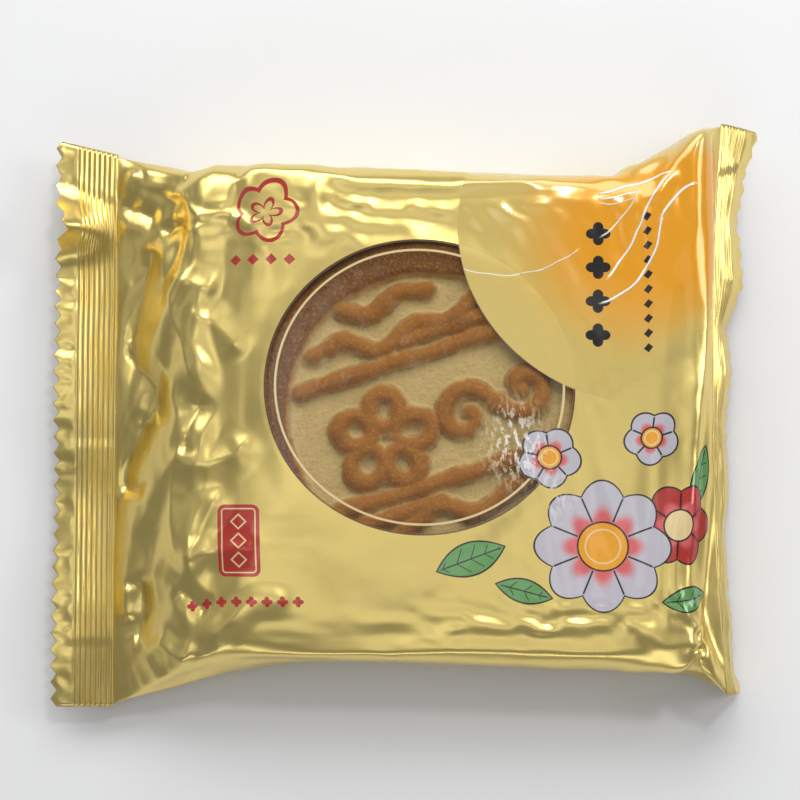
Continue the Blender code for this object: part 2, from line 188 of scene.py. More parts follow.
# Where the window is on the flat film, in mm from the film's middle, and its size there
FLAT_WINDOW = (1.1, 5.9)
FLAT_WINDOW_RADIUS = 31.2
WINDOW_BORDER = 0.9  # gold film that stays on the window's piece, round its clear part
PRINT_SPAN = 160.0  # mm of film across the unit square of the print's UV map
BACK_OFFSET = 3.0  # the film's back lies this many squares away in the UV map

# The print, in mm from the flat film's middle
MOON_CENTRE, MOON_RADIUS, MOON_GLOW = (46.9, 41.5), 38.6, (49.0, 38.0)
LEAVES = (  # centre, turn in degrees, half length and half width
    ((11.0, -30.0), 22, 7.2, 3.2), ((21.5, -36.5), -14, 5.6, 2.3),
    ((55.5, -37.5), 8, 5.8, 2.4), ((58.5, -14.0), 68, 6.8, 2.6),
)
BLOSSOMS = (  # colours of the petals and the heart, centre, radius, petals and turn
    ("red", "cream", (53.0, -22.5), 8.2, 6, 0.4), ("lilac", "moon_orange", (27.0, -8.5), 6.2, 5, 1.0),
    ("lilac", "moon_orange", (37.5, -27.0), 13.6, 8, 0.0), ("lilac", "moon_orange", (47.5, -4.5), 5.4, 5, 2.2),
)
DARK_ROWS = (  # start, step, how many, turn in degrees, half size, and whether they are diamonds
    ((36.9, 39.0), 7.2, 4, -90, 2.5, False), ((47.0, 41.0), 3.0, 10, -90, 0.95, True),
)
RED_ROWS = (((-45.5, -39.4), 3.1, 8, 0, 1.15, False), ((-36.5, 32.6), 3.7, 4, 0, 1.2, True))
PLAQUE = ((-35.2, -26.6), 4.3, 7.6)  # centre, half width and half height
PLAQUE_CORNER = 1.6
OUTLINED_BLOSSOM = ((-31.0, 42.8), 6.4, 5)  # centre, radius and petals
WRINKLES = (  # start, end, how far it bows, and half its width
    ((37.7, 47.7), (52.3, 48.3), 1.3, 0.23), ((37.7, 46.5), (45.1, 47.3), 0.2, 0.18),
    ((37.7, 45.5), (43.9, 45.9), -0.2, 0.10), ((37.7, 38.5), (45.1, 46.7), -0.5, 0.14),
    ((51.7, 47.5), (46.0, 40.5), -1.0, 0.24), ((46.0, 40.5), (38.9, 29.7), 0.3, 0.20),
    ((57.1, 44.5), (50.0, 39.5), -0.9, 0.26), ((50.0, 39.5), (37.7, 24.3), 3.1, 0.23),
    ((9.5, 31.1), (32.7, 35.5), -3.2, 0.08),
)
PAINTED_HIGHLIGHT_WHITE = (1.0, 0.98, 0.94, 1.0)  # white painted on the wrinkles and crumples as their highlights

# The cake's pattern, in mm from its middle
FIELD_RADIUS = 28.0
FIELD_DEPTH = 1.9
RIDGE_WIDTH = 4.5
WAVES = (
    ((-23.0, 11.0), (-17.0, 14.6), (-9.4, 12.0), (-3.0, 18.0), (4.4, 17.8), (9.5, 23.5)),
    ((-17.5, 20.5), (-11.5, 19.0), (-5.6, 24.4), (-0.5, 24.6)),
    ((-6.5, -25.5), (2.0, -17.6), (9.4, -20.4), (18.0, -13.6), (24.0, -11.0)),
)
BARS = (
    ((-25.4, 4.0), (20.0, 18.6)),
    ((-5.0, 14.2), (17.0, 21.6)),
    ((-18.0, -20.0), (23.5, -7.2)),
    ((-13.0, -22.4), (3.0, -17.4)),
)
FLOWER_CENTRE = (-8.5, -5.4)
PETALS = 5
PETAL_REACH = 9.6
PETAL_HALF_WIDTH = 3.1
FLOWER_HEART = 2.4
FLOWER_TURN = 0.35
SCROLLS = (((7.5, -0.6), 6.4, 0.4), ((19.2, 5.2), 5.6, 3.6))
SCROLL_TURNS = 1.02
SCROLL_EYE = 0.22
PETAL_STEPS, SCROLL_STEPS = 20, 24
CAKE_ROUNDING = 3.0 * MM
CAKE_CELL = 0.4 * MM


class MooncakeSizes(bpy.types.PropertyGroup):
    """Sizes of the pack and the cake that a user would change."""

    film_half_width: FloatProperty(
        name="Film half width", description="Half the width of the flattened film tube",
        default=57.9 * MM, unit="LENGTH", precision=4,
    )
    film_half_length: FloatProperty(
        name="Film half length", description="Half the film between the two seals",
        default=66.4 * MM, unit="LENGTH", precision=4,
    )
    air_pressure: FloatProperty(
        name="Air pressure", description="How hard the air in the pack pushes on the film", default=12.0,
    )
    cake_steps: IntProperty(
        name="Cake steps", description="Steps of the cake's mesh round its middle", default=300, min=60,
    )


class MooncakeColours(bpy.types.PropertyGroup):
    """Colours of the foil, the print and the crust."""

    def colour(name, description, default):
        return FloatVectorProperty(
            name=name, description=description, subtype="COLOR", size=4, min=0, max=1, default=(*default, 1)
        )

    gold: colour("Gold", "The metallised film", (0.88, 0.685, 0.23))
    moon_pale: colour("Pale disc", "The pale edge of the printed disc", (0.63, 0.47, 0.13))
    moon_orange: colour("Orange disc", "The deep middle of the printed disc", (0.80, 0.34, 0.008))
    red: colour("Red", "The red print", (0.42, 0.03, 0.02))
    ink: colour("Dark ink", "Outlines and dark print", (0.012, 0.009, 0.008))
    lilac: colour("Lilac", "The petals' pale lilac", (0.50, 0.47, 0.52))
    pink: colour("Pink", "The petals' pink", (0.66, 0.12, 0.12))
    green: colour("Green", "The leaves", (0.11, 0.30, 0.08))
    cream: colour("Cream", "The thin ring round the window", (0.78, 0.60, 0.30))
    crust: colour("Crust", "The ridges and the rim", (0.33, 0.128, 0.013))
    # Also used for the painted shade at the ridges' feet and the painted shadow line at the window's edge.
    crust_dark_and_painted_shade: colour("Dark crust", "The deepest bake", (0.12, 0.046, 0.010))
    field: colour("Field", "The pale dough between the ridges", (0.56, 0.43, 0.18))
    sugar: colour("Sugar", "The light grains of the crust", (0.56, 0.27, 0.045))


# ---- small helpers


def ease(value):
    """0 below 0, 1 above 1, and a smooth S between."""
    value = np.clip(value, 0, 1)
    return value * value * (3 - 2 * value)


def mix(start, end, share):
    return start + (end - start) * share


def link(name, mesh):
    made = bpy.data.objects.new(name, mesh)
    bpy.context.scene.collection.objects.link(made)
    return made


def mesh_of(bm, name):
    """Turns a bmesh into a mesh and frees it."""
    mesh = bpy.data.meshes.new(name)
    bm.to_mesh(mesh)
    bm.free()
    return mesh


def mesh_points(mesh):
    points = np.empty(len(mesh.vertices) * 3)
    mesh.vertices.foreach_get("co", points)
    return points.reshape(-1, 3)


def set_points(mesh, points):
    mesh.vertices.foreach_set("co", np.asarray(points, dtype=np.float32).ravel())
    mesh.update()


def read_layer(mesh, name):
    values = np.empty(len(mesh.vertices) * 3)
    mesh.attributes[name].data.foreach_get("vector", values)
    return values.reshape(-1, 3)


def field_noise(points, size, seed=0.0):
    """Smooth noise from -1 to 1 at each point, with lumps of about this size."""
    return np.array([noise.noise(Vector(point) / size + Vector((seed, seed, seed))) for point in points])


# ---- shader expressions


class Term:
    """A value in a node tree. Plain operators on it add Math nodes."""

    def __init__(self, tree, socket):
        self.tree = tree
        self.socket = socket

    def math(self, operation, *others, clamp=False):
        return self.tree.add("ShaderNodeMath", {"operation": operation, "use_clamp": clamp}, [self, *others])

    def __add__(self, other):
        return self.math("ADD", other)

    __radd__ = __add__

    def __sub__(self, other):
        return self.math("SUBTRACT", other)

    def __rsub__(self, other):
        return self.tree.add("ShaderNodeMath", {"operation": "SUBTRACT"}, [other, self])

    def __mul__(self, other):
        return self.math("MULTIPLY", other)

    __rmul__ = __mul__

    def __abs__(self):
        return self.math("ABSOLUTE")

    def lower(self, other):
        return self.math("MINIMUM", other)

    def higher(self, other):
        return self.math("MAXIMUM", other)

    def inside(self, soft=0.12):
        """1 where the distance is negative, 0 where it is positive, with a soft edge."""
        return self.math("MULTIPLY_ADD", -1 / soft, 0.5, clamp=True)

    def ramp(self, start, end):
        """0 at start and 1 at end, eased between them."""
        settings = {"interpolation_type": "SMOOTHSTEP"}
        return self.tree.add("ShaderNodeMapRange", settings, {0: self, 1: start, 2: end})


class Tree:
    """A material's nodes."""

    def __init__(self, name):
        self.material = bpy.data.materials.new(name)
        self.material.use_nodes = True
        self.nodes = self.material.node_tree.nodes
        self.links = self.material.node_tree.links
        self.nodes.clear()

    def add(self, kind, settings=None, inputs=(), output=0):
        """Adds a node: its settings first, then the values or links of its sockets."""
        node = self.nodes.new(kind)
        for name, value in (settings or {}).items():
            setattr(node, name, value)
        pairs = inputs.items() if isinstance(inputs, dict) else enumerate(inputs)
        for key, value in pairs:
            if isinstance(value, Term):
                self.links.new(value.socket, node.inputs[key])
            else:
                node.inputs[key].default_value = value
        return Term(self, node.outputs[output]) if node.outputs else None

    def blend(self, share, first, second, how="MIX"):
        settings = {"data_type": "RGBA", "blend_type": how}
        return self.add("ShaderNodeMix", settings, {0: share, 6: first, 7: second}, 2)

    def speckle(self, where, scale, detail=2.0, roughness=0.5):
        inputs = {"Vector": where, "Scale": scale, "Detail": detail, "Roughness": roughness}
        return self.add("ShaderNodeTexNoise", None, inputs)

    def object_place(self):
        return self.add("ShaderNodeTexCoord", None, (), "Object")

    def film_place(self):
        """The place on the flat film, in mm from its middle, as two values."""
        flat = self.add("ShaderNodeUVMap", {"uv_map": "film"})
        x = self.add("ShaderNodeSeparateXYZ", None, [flat], 0)
        y = self.add("ShaderNodeSeparateXYZ", None, [flat], 1)
        return (x - 0.5) * PRINT_SPAN, (y - 0.5) * PRINT_SPAN

    def bump(self, height, distance, strength=1.0, normal=None):
        inputs = {"Strength": strength, "Distance": distance, "Height": height}
        if normal is not None:
            inputs["Normal"] = normal
        return self.add("ShaderNodeBump", None, inputs)

    def surface(self, inputs):
        return self.add("ShaderNodeBsdfPrincipled", None, inputs)

    def finish(self, surface):
        self.add("ShaderNodeOutputMaterial", None, [surface])
        return self.material


def length(x, y):
    return (x * x + y * y).math("SQRT")


def turned(x, y, centre, degrees):
    """The same place seen from a centre, with axes turned by an angle."""
    x, y = x - centre[0], y - centre[1]
    cos, sin = math.cos(math.radians(degrees)), math.sin(math.radians(degrees))
    return x * cos + y * sin, y * cos - x * sin


# ---- the print


class Print:
    """Builds up the printed colours of the film, one shape over another."""

    def __init__(self, tree, colours, x, y):
        self.tree, self.colours, self.x, self.y = tree, colours, x, y
        self.colour = tree.add("ShaderNodeRGB", None, ())
        self.colour.socket.default_value = colours.moon_pale
        self.cover = None

    def lay(self, mask, colour):
        self.colour = self.tree.blend(mask, self.colour, colour)
        self.cover = mask if self.cover is None else self.cover.higher(mask)

    def moon(self):
        """A large disc, pale at its left edge and orange in the middle, which fades away at its lower right; its
        orange is also faded out over the pack's upper side, a painted lightening of that side.
        """
        x, y = self.x - MOON_CENTRE[0], self.y - MOON_CENTRE[1]
        disc = (length(x, y) - MOON_RADIUS).inside(0.3)
        fade = (y * 0.75 - x * 0.35).ramp(-28.5, -19.5)
        glow = length((self.x - MOON_GLOW[0]) * 0.95, (self.y - MOON_GLOW[1]) * 1.15)
        # The orange fades out above about 50 mm across the flat film, on the pack's upper side: painted light that
        # makes that side paler.
        warmth_with_painted_side_light = glow.ramp(33.0, 13.0) * self.y.ramp(54.5, 49.5)
        shade = self.tree.blend(warmth_with_painted_side_light, self.colours.moon_pale, self.colours.moon_orange)
        self.lay(disc * fade, shade)

    def leaf(self, centre, degrees, half_length, half_width):
        x, y = turned(self.x, self.y, centre, degrees)
        edge = abs(y) + x * x * (half_width / half_length ** 2) - half_width
        self.lay((edge - 0.4).inside(), self.colours.ink)
        self.lay(edge.inside(), self.colours.green)
        veins = (abs(y) - 0.14).lower(abs((x - abs(y) * 0.8).math("PINGPONG", 1.5)) - 0.12)
        self.lay(veins.inside() * (edge + 0.5).inside(), self.colours.ink)

    def blossom(self, centre, radius, petals, turn, outer, middle, heart):
        """A round flower of petals with dark outlines, and a disc at its heart."""
        x, y = self.x - centre[0], self.y - centre[1]
        angle = y.math("ARCTAN2", x) * petals + turn
        reach = length(x, y)
        wave = abs((angle * 0.5).math("COSINE"))
        rim = reach - radius * 0.80 - wave * (radius * 0.20)
        self.lay((rim - 0.4).inside(), self.colours.ink)
        self.lay(rim.inside(), outer)
        blush = rim.ramp(-0.30 * radius, -0.52 * radius)
        self.lay(blush * rim.inside(), middle)
        seam = abs((angle * 0.5).math("COSINE")) * reach * (2.0 / petals) - 0.19
        self.lay(seam.inside() * (rim + 0.2).inside() * (reach - radius * 0.4).inside(-0.12), self.colours.ink)
        core = reach - radius * 0.36
        self.lay((core - 0.36).inside(), self.colours.ink)
        self.lay(core.inside(), heart)
        self.lay((abs(core + radius * 0.1) - 0.16).inside(), self.colours.cream)

    def row(self, start, step, count, degrees, half_size, diamond, colour):
        """A row of small rosettes or diamonds."""
        x, y = turned(self.x, self.y, start, degrees)
        along = (x + step / 2).math("MODULO", step) - step / 2
        within = (abs(x - step * (count - 1) / 2) - step * count / 2).inside()
        if diamond:
            edge = abs(along) + abs(y) - half_size
        else:
            wave = abs((y.math("ARCTAN2", along) * 2).math("COSINE"))
            edge = length(along, y) - half_size * 0.6 - wave * (half_size * 0.4)
        self.lay(edge.inside() * within, colour)

    def plaque(self, centre, half_width, half_height):
        """A red plaque with rounded corners and a cream border of nested diamonds."""
        x, y = abs(self.x - centre[0]), abs(self.y - centre[1])
        across, along = ((x - half_width + PLAQUE_CORNER).higher(0.0), (y - half_height + PLAQUE_CORNER).higher(0.0))
        edge = length(across, along) - PLAQUE_CORNER
        self.lay(edge.inside(), self.colours.red)
        self.lay((abs(edge + 0.9) - 0.14).inside(), self.colours.cream)
        cell = (y + 2.0).math("MODULO", 4.0) - 2.0
        diamond = abs(x + abs(cell) - 1.5) - 0.22
        self.lay(diamond.inside() * (edge + 1.5).inside(), self.colours.cream)

    def artwork(self):
        colours = self.colours
        self.moon()
        for leaf in LEAVES:
            self.leaf(*leaf)
        for petals, heart, *shape in BLOSSOMS:
            self.blossom(*shape, getattr(colours, petals), colours.pink, getattr(colours, heart))
        for row in DARK_ROWS:
            self.row(*row, colours.ink)
        self.plaque(*PLAQUE)
        for row in RED_ROWS:
            self.row(*row, colours.red)
        self.blossom_outline(*OUTLINED_BLOSSOM, colours.red)

    def blossom_outline(self, centre, radius, petals, colour):
        x, y = self.x - centre[0], self.y - centre[1]
        angle = y.math("ARCTAN2", x) * petals
        rim = length(x, y) - radius * 0.7 - abs((angle * 0.5).math("COSINE")) * (radius * 0.3)
        self.lay((abs(rim) - 0.48).inside(), colour)
        self.lay((abs(rim + radius * 0.55) - 0.40).inside(), colour)


# ---- materials of the film


def film_wrinkles(x, y):
    """Thin hard creases in the printed corner, from 0 to 1, which get a bump and a painted white highlight."""
    lines = None
    for start, end, bow, half_line in WRINKLES:
        reach = math.dist(start, end)
        degrees = math.degrees(math.atan2(end[1] - start[1], end[0] - start[0]))
        along, across = turned(x, y, start, degrees)
        path = across - along * (reach - along) * (4 * bow / reach ** 2) + (along * 0.9).math("SINE") * 0.12
        shape = (abs(path) - half_line).inside(0.25) * (abs(along - reach / 2) - reach / 2).inside(1.5)
        lines = shape if lines is None else lines.higher(shape)
    return lines


def painted_glare_patches(tree, x, y):
    """Patches of fine crumpling, from 0 to 1, painted white as glare; in the window they also make a bump and turn
    the film opaque.
    """
    squeezed = tree.add("ShaderNodeCombineXYZ", None, [x, y * 0.45, 0.0])
    crumple = tree.speckle(squeezed, 0.95, 2.5, 0.65)
    zone = (length(x - 20.0, (y + 5.5) * 0.7) - 5.0).inside(7.0)
    zone = zone.higher((length(x - 27.5, (y + 16.5) * 0.8) - 2.5).inside(6.0) * 0.8)
    return crumple.ramp(0.47, 0.60) * zone * 0.8


def foil(tree, colours, art, x, y):
    """Metallised film, satin between its creases, with opaque and see-through print, and white painted as highlights
    on its wrinkles and crumpled print.
    """
    place = tree.object_place()
    tint = tree.speckle(place, 45.0, 3.0)
    gold = tree.blend(tint, colours.gold, tuple(value * 0.9 for value in colours.gold[:3]) + (1.0,))
    creases = film_wrinkles(x, y) * (art.cover * 0.9 + 0.1)
    # Painted highlight: white is laid along the wrinkles and over the crumpled print, for the glints on them.
    painted_highlight = creases.higher(painted_glare_patches(tree, x, y) * art.cover)
    colour = tree.blend(painted_highlight, tree.blend(art.cover, gold, art.colour), PAINTED_HIGHLIGHT_WHITE)
    grain = tree.speckle(place, 2600.0, 2.0)
    waves = tree.speckle(place, 160.0, 2.0)
    rough = 0.27 + tree.speckle(place, 400.0) * 0.06 - art.cover * 0.10
    normal = tree.bump(grain, 0.012 * MM, 0.5)
    normal = tree.bump(waves, 0.10 * MM, 0.6, normal)
    normal = tree.bump(creases, 0.15 * MM, 1.0, normal)
    return tree.surface({
        "Base Color": colour, "Metallic": 1 - art.cover * 0.85, "Roughness": rough, "Normal": normal,
        "Coat Weight": 0.12 + art.cover * 0.55, "Coat Roughness": 0.07,
    })


def gold_film(colours):
    """The gold film of the wrapper and its seals."""
    tree = Tree("gold film")
    x, y = tree.film_place()
    art = Print(tree, colours, x, y)
    art.artwork()
    return tree.finish(foil(tree, colours, art, x, y))


def clear_film(colours):
    """Clear glossy film with the same print, in a narrow border of the gold film, with a dark line painted as shadow
    along the window's edge and white painted as highlights on its wrinkles and crumples.
    """
    tree = Tree("clear film")
    x, y = tree.film_place()
    art = Print(tree, colours, x, y)
    art.artwork()
    reach = length(x - FLAT_WINDOW[0], y - FLAT_WINDOW[1])
    border = foil(tree, colours, art, x, y)
    # Painted shadow: a thin dark line just inside the window's edge, laid as opaque print, for the shade of the gold
    # layer's edge.
    rim = (abs(reach - FLAT_WINDOW_RADIUS + 0.2) - 0.2).inside() * (1 - art.cover)
    ring = (abs(reach - (FLAT_WINDOW_RADIUS - 2.3)) - 0.24).inside()
    ring_and_painted_edge_shadow = tree.blend(rim, colours.cream, colours.crust_dark_and_painted_shade)
    art.colour = tree.blend(art.cover, ring_and_painted_edge_shadow, art.colour)
    cover = art.cover.higher(ring * 0.9).higher(rim * 0.7)
    place = tree.object_place()
    waves = tree.speckle(place, 220.0, 3.0)
    # The crumpled patches get a bump and a painted sparkle: white base colour on an opaque surface.
    crumple_and_painted_sparkle = painted_glare_patches(tree, x, y)
    normal = tree.bump(waves, 0.12 * MM, 0.7)
    normal = tree.bump(crumple_and_painted_sparkle, 0.2 * MM, 1.0, normal)
    painted_highlight = film_wrinkles(x, y).higher(crumple_and_painted_sparkle)
    printed = tree.surface({
        "Base Color": tree.blend(painted_highlight, art.colour, PAINTED_HIGHLIGHT_WHITE),
        "Roughness": 0.3, "Metallic": 0.1, "Coat Weight": 0.6, "Coat Roughness": 0.08, "Normal": normal,
    })
    gloss = tree.surface({
        "Base Color": (1.0, 1.0, 1.0, 1.0), "Metallic": 1.0, "Roughness": 0.07, "Normal": normal,
    })
    glance = tree.add("ShaderNodeLayerWeight", None, {"Blend": 0.5, "Normal": normal}, "Facing")
    through = tree.add("ShaderNodeBsdfTransparent", None, [(0.97, 0.95, 0.92, 1.0)])
    share = glance.math("POWER", 5.0) * 0.9 + 0.03
    clear = tree.add("ShaderNodeMixShader", None, [share, through, gloss])
    window = tree.add("ShaderNodeMixShader", None, [cover.higher(crumple_and_painted_sparkle), clear, printed])
    surface = tree.add("ShaderNodeMixShader", None, [(reach - FLAT_WINDOW_RADIUS).inside(), border, window])
    return tree.finish(surface)


def crust(colours):
    """Baked dough: golden brown ridges and rim, pale in the sunk field, with a fine grain, and painted shade in
    blotches along the feet of the ridges.
    """
    tree = Tree("baked crust")
    place = tree.object_place()
    bake = tree.add("ShaderNodeAttribute", {"attribute_name": "bake"}, (), "Fac")
    rim = tree.add("ShaderNodeAttribute", {"attribute_name": "rim"}, (), "Fac")
    blotch = tree.speckle(place, 230.0, 3.0, 0.6)
    grain = tree.speckle(place, 1500.0, 4.0, 0.75)
    broad = tree.speckle(place, 70.0, 1.0)
    level = bake + (broad - 0.5) * 0.6 + (blotch - 0.5) * 0.7 + (grain - 0.5) * 0.6
    colour = tree.blend(level.ramp(0.05, 0.90), colours.field, colours.crust)
    # Painted shade: the lower flanks of the ridges, where they meet the field, are darkened in blotches.
    foot = 4 * (bake - 0.35)
    painted_foot_shade = (1 - foot * foot).higher(0.0) * (1 - rim) * blotch.ramp(0.35, 0.65)
    colour = tree.blend(painted_foot_shade * 0.5, colour, colours.crust_dark_and_painted_shade)
    colour = tree.blend((level + rim * 0.6 - 0.5).ramp(0.45, 1.15) * 0.8, colour, colours.crust_dark_and_painted_shade)
    colour = tree.blend(grain.ramp(0.50, 0.64) * 0.45, colour, colours.sugar)
    normal = tree.bump(grain, 0.35 * MM, 1.0)
    normal = tree.bump(blotch, 0.50 * MM, 0.7, normal)
    surface = tree.surface({
        "Base Color": colour, "Roughness": 0.55 + grain * 0.15, "Normal": normal, "Specular IOR Level": 0.25,
    })
    return tree.finish(surface)


# ---- the film's shape


def left_root(v):
    """The line where the body meets the flat seal, for places v across the flat film."""
    wave = LEFT_ROOT_WAVE * np.sin(v / MM * 0.14 + 0.5)
    return np.stack([np.full_like(v, LEFT_ROOT), v * LEFT_GATHER + LEFT_SHIFT, LEFT_SEAL_HEIGHT + wave], -1)


def right_root(v, half_width):
    """The same line at the bent seal, whose ends stand out as ears."""
    ear = np.abs(v / half_width) ** 3
    height = RIGHT_SEAL_HEIGHT - EAR_DROP * ear + RIGHT_ROOT_WAVE * np.sin(v / MM * 0.13 + 1.0)
    return np.stack([RIGHT_ROOT + EAR_REACH * ear, v * RIGHT_GATHER + RIGHT_SHIFT, height], -1)


def crease_height(x, y):
    """How far the creases lift or press the top film at this place."""
    x, y = (x - CAKE_MIDDLE.x) / MM, (y - CAKE_MIDDLE.y) / MM
    total = np.zeros_like(x)
    for height, spread, *points in CREASES:
        runs = np.diff(points, axis=0)
        ends = np.concatenate([[0], np.cumsum(np.hypot(*runs.T))])
        nearest, along = np.full_like(x, spread), np.zeros_like(x)
        for start, run, before, after in zip(points, runs, ends, ends[1:]):
            share = np.clip(((x - start[0]) * run[0] + (y - start[1]) * run[1]) / (run @ run), 0, 1)
            away = np.hypot(x - start[0] - run[0] * share, y - start[1] - run[1] * share)
            along = np.where(away < nearest, mix(before, after, share) / ends[-1], along)
            nearest = np.minimum(away, nearest)
        fade = ease(along / CREASE_FADE) * ease((1 - along) / CREASE_FADE)
        total += height * fade * (1 - nearest / spread) ** CREASE_BEND
    return total * MM


def rises(x):
    """How far the top has risen and the underside has dropped at x, each from 0 to 1."""
    from_left, from_right = x - LEFT_ROOT, RIGHT_ROOT - x
    rise = ease(from_left / LEFT_SLOPE) * ease(from_right / RIGHT_SLOPE)
    drop = ease(from_left / LEFT_BELLY) * ease(from_right / RIGHT_BELLY)
    return rise, drop


def film_run(side, half_length):
    """Where along the pack the film lies, against how much film has been used, on its middle line."""
    x = np.linspace(LEFT_ROOT, RIGHT_ROOT, 600)
    rise, drop = rises(x)
    seal = mix(LEFT_SEAL_HEIGHT, RIGHT_SEAL_HEIGHT, (x - LEFT_ROOT) / ROOT_SPAN)
    z = mix(seal, FILM_TOP, rise) if side > 0 else mix(seal, FILM_BOTTOM, drop)
    used = np.concatenate([[0], np.cumsum(np.hypot(np.diff(x), np.diff(z)))])
    return used / used[-1] * 2 * half_length - half_length, x


def film_shape(flat, sizes):
    """Places the flat film loosely round the cake: flat holds (u, v, side) for each point."""
    u, v, side = flat.T
    half_width, half_length = sizes.film_half_width, sizes.film_half_length
    share = np.empty_like(u)
    for face in (1, -1):
        used, x = film_run(face, half_length)
        share[side == face] = (np.interp(u[side == face], used, x) - LEFT_ROOT) / ROOT_SPAN
    plain = (u + half_length) / (2 * half_length)
    share = mix(share, plain, np.abs(v / half_width) ** 4)
    base = mix(left_root(v), right_root(v, half_width), share[:, None])
    x = base[:, 0]
    rise, drop = rises(LEFT_ROOT + share * ROOT_SPAN)
    from_left, from_right = share * ROOT_SPAN, (1 - share) * ROOT_SPAN
    toward = (v / half_width + 1) / 2
    narrow = ease(0.12 + from_left / mix(*LEFT_NARROWING, toward)) * ease(from_right / mix(*RIGHT_NARROWING, toward))
    top = mix(base[:, 2], FILM_TOP - 0.2 * MM, rise)
    bottom = mix(base[:, 2], FILM_BOTTOM, drop)
    body = mix(half_width * mix(LEFT_GATHER, RIGHT_GATHER, share), BODY_HALF_WIDTH, narrow)
    shift = mix(mix(LEFT_SHIFT, RIGHT_SHIFT, share), BODY_SHIFT, narrow)
    corner = mix(0.5 * MM, SIDE_ROUND, np.minimum(rise, drop))
    level = body - corner
    run = np.abs(v) / half_width * (level + corner * math.pi / 2)
    turn = np.clip((run - level) / corner, 0, math.pi / 2)
    edge = np.where(np.abs(v) > half_width - 1e-6, 0, np.cos(turn))
    y = np.copysign(np.where(turn > 0, level + corner * np.sin(turn), run), v) + shift
    middle = (top + bottom) / 2
    z = middle + side * (top - bottom) / 2 * edge
    lumps = field_noise(flat * (0.06 / MM, 0.06 / MM, 3.0), 1.0)
    z += MM * lumps * np.minimum(rise * (1 - rise) * 4, 1) * edge
    at_root = np.abs(u) > half_length - 1e-6
    y = np.where(at_root, base[:, 1], y)
    z = np.where(at_root, base[:, 2], z)
    return np.stack([x, y, z], -1)


def flat_film(sizes):
    """The film tube laid flat for the simulation: a top and a back sheet that share their edges."""
    half_width, half_length = sizes.film_half_width, sizes.film_half_length
    columns = round(half_length / half_width * SIM_CELLS_ACROSS)
    bm = bmesh.new()
    bmesh.ops.create_grid(bm, x_segments=columns, y_segments=SIM_CELLS_ACROSS, size=1)
    bmesh.ops.scale(bm, vec=(half_length, half_width, 1), verts=bm.verts)
    flat = bm.verts.layers.float_vector.new("flat")
    for vert in bm.verts:
        vert[flat] = (vert.co.x, vert.co.y, -1)
    top = bmesh.ops.extrude_face_region(bm, geom=bm.faces[:], use_keep_orig=True)["geom"]
    for item in top:
        if isinstance(item, bmesh.types.BMVert):
            item[flat] = (item.co.x, item.co.y, 1)
    places = np.array([vert[flat][:] for vert in bm.verts])
    for vert, place in zip(bm.verts, film_shape(places, sizes)):
        vert.co = place
    bmesh.ops.remove_doubles(bm, verts=bm.verts, dist=0.001 * MM)
    bmesh.ops.recalc_face_normals(bm, faces=bm.faces)
    if bm.calc_volume(signed=True) < 0:
        bmesh.ops.reverse_faces(bm, faces=bm.faces)
    return mesh_of(bm, "film")


class FilmSurface:
    """The blown-up film as a smooth surface over the flat one."""

    def __init__(self, flat, points, sizes):
        self.half_width, self.half_length = sizes.film_half_width, sizes.film_half_length
        self.across = SIM_CELLS_ACROSS
        self.along = round(self.half_length / self.half_width * self.across)
        self.net = np.zeros((self.along + 1, 2 * self.across, 3))
        i, j = self.cells(flat)
        i, j = np.rint(i).astype(int), np.rint(j).astype(int) % (2 * self.across)
        self.net[i, j] = points
        ends = (i == 0) | (i == self.along)
        self.net[i[ends], -j[ends] % (2 * self.across)] = points[ends]
        before, after = 2 * self.net[0] - self.net[1], 2 * self.net[-1] - self.net[-2]
        self.net = np.concatenate([before[None], self.net, after[None]])

    def cells(self, flat):
        """Places on the net: along the film, and round the tube over the top and back under it."""
        u, v, side = flat.T
        i = (u + self.half_length) / (2 * self.half_length) * self.along
        j = (v + self.half_width) / (2 * self.half_width) * self.across
        return i, np.where(side > 0, j, 2 * self.across - j)

    def weights(self, share):
        """How much each of four neighbours counts, for a surface that bends softly over the net."""
        square, cube = share ** 2, share ** 3
        return (
            (1 - share) ** 3 / 6, (3 * cube - 6 * square + 4) / 6,
            (3 * share + 3 * square - 3 * cube + 1) / 6, cube / 6,
        )

    def at(self, flat):
        i, j = self.cells(flat)
        i0, j0 = np.clip(np.floor(i), 0, self.along - 1).astype(int), np.floor(j).astype(int)
        total = np.zeros((len(flat), 3))
        for row, along in enumerate(self.weights(i - i0), -1):
            for column, across in enumerate(self.weights(j - j0), -1):
                corner = self.net[i0 + row + 1, (j0 + column) % (2 * self.across)]
                total += corner * (along * across)[:, None]
        return total


